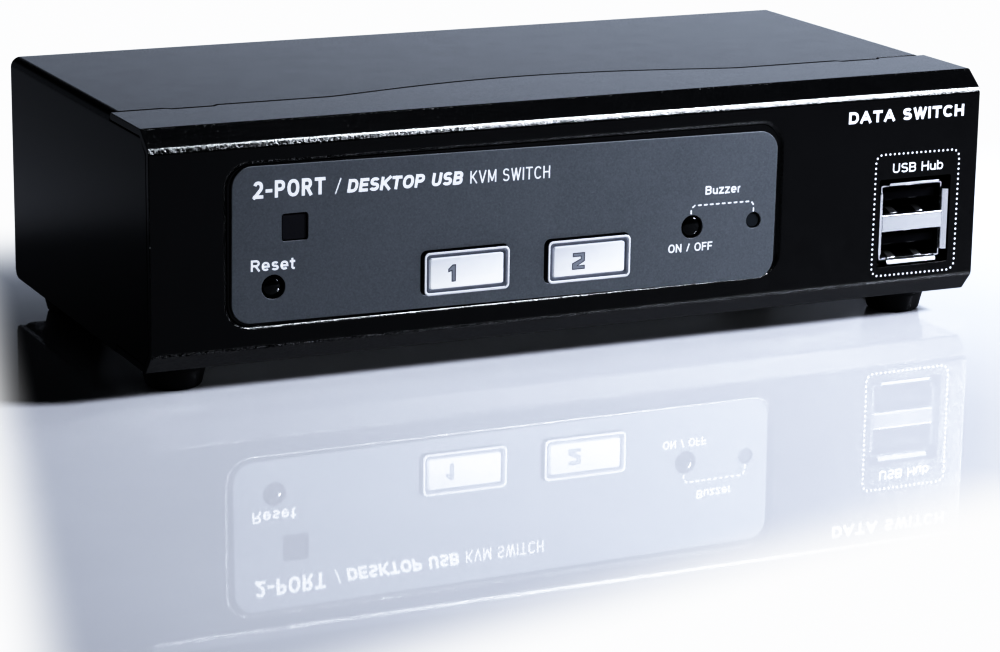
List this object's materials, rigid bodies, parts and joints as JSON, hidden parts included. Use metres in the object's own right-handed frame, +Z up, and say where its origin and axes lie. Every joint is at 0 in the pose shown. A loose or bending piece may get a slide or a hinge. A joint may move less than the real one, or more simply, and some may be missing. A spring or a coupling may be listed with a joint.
{
  "type": "kvm switch",
  "caption": "Desktop KVM switch: folded black steel case with a curved lid seam, debossed grey front label, numbered push buttons, front USB sockets and rear video and USB sockets.",
  "frame": {"origin": "middle of the footprint box, on the surface it stands on", "axes": "+Z up, the front with the buttons faces -Y, +X to the right seen from the front"},
  "size_m": [0.1624, 0.085, 0.0465],
  "materials": {
    "bezel_paint": "black powder coat, fine texture, semi-gloss",
    "cover_paint": "black powder coat, fine texture, satin",
    "chassis_paint": "black powder coat, satin",
    "overlay_film": "printed grey film, fine speckle",
    "smoked_window": "dark smoked plastic",
    "button_rim": "clear silvery plastic, bevelled",
    "button_face": "white plate with a grey numeral",
    "black_plastic": "black moulded plastic",
    "nickel": "bright nickel plating",
    "zinc": "zinc plated steel",
    "rubber": "black rubber",
    "board": "green circuit board",
    "chip": "black epoxy",
    "blue_plastic": "blue moulded plastic",
    "white_plastic": "white moulded plastic",
    "lamp": "clear lens",
    "can": "aluminium can"
  },
  "bodies": {
    "housing": {"top_cover": "cover_paint", "front_bezel": "bezel_paint", "base_chassis": "chassis_paint", "front_overlay": "overlay_film", "sensor_window": "smoked_window", "buzzer_lamp_window": "smoked_window", "select_switch_1": "black_plastic", "select_switch_2": "black_plastic", "reset_switch": "black_plastic", "buzzer_switch": "black_plastic", "port_led_1": "lamp", "port_led_2": "lamp", "buzzer_led": "lamp", "ir_receiver": "black_plastic", "front_usb_shell": "nickel", "front_usb_insulator": "black_plastic", "console_usb_shell": "nickel", "console_usb_insulator": "white_plastic", "pc1_usb_shell": "nickel", "pc2_usb_shell": "nickel", "pc1_usb_insulator": "white_plastic", "pc2_usb_insulator": "white_plastic", "console_vga_shell": "nickel", "pc1_vga_shell": "nickel", "pc2_vga_shell": "nickel", "console_vga_insulator": "blue_plastic", "pc1_vga_insulator": "blue_plastic", "pc2_vga_insulator": "blue_plastic", "dc_jack": "black_plastic", "main_pcb": "board", "front_pcb": "board", "board_header": "black_plastic", "controller_chip": "chip", "video_switch_chip": "chip", "usb_hub_chip": "chip", "capacitor_1": "can", "capacitor_2": "can", "piezo_buzzer": "black_plastic", "foot_front_left": "rubber", "foot_front_right": "rubber", "foot_rear_left": "rubber", "foot_rear_right": "rubber", "pcb_screw_left": "zinc", "pcb_screw_right": "zinc", "cover_screw_left": "zinc", "cover_screw_right": "zinc", "jackscrew_1": "nickel", "jackscrew_2": "nickel", "jackscrew_3": "nickel", "jackscrew_4": "nickel", "jackscrew_5": "nickel", "jackscrew_6": "nickel"},
    "select_1": {"select_button_1": "button_rim", "select_face_1": "button_face", "select_stem_1": "white_plastic"},
    "select_2": {"select_button_2": "button_rim", "select_face_2": "button_face", "select_stem_2": "white_plastic"},
    "reset": {"reset_button": "black_plastic"},
    "buzzer_toggle": {"buzzer_button": "black_plastic"}
  },
  "joints": [
    {"name": "select_1_press", "type": "slide", "parent": "housing", "child": "select_1", "axis": [0, 1, 0], "range_m": [0, 0.001]},
    {"name": "select_2_press", "type": "slide", "parent": "housing", "child": "select_2", "axis": [0, 1, 0], "range_m": [0, 0.001]},
    {"name": "reset_press", "type": "slide", "parent": "housing", "child": "reset", "axis": [0, 1, 0], "range_m": [0, 0.0004]},
    {"name": "buzzer_press", "type": "slide", "parent": "housing", "child": "buzzer_toggle", "axis": [0, 1, 0], "range_m": [0, 0.0004]}
  ]
}
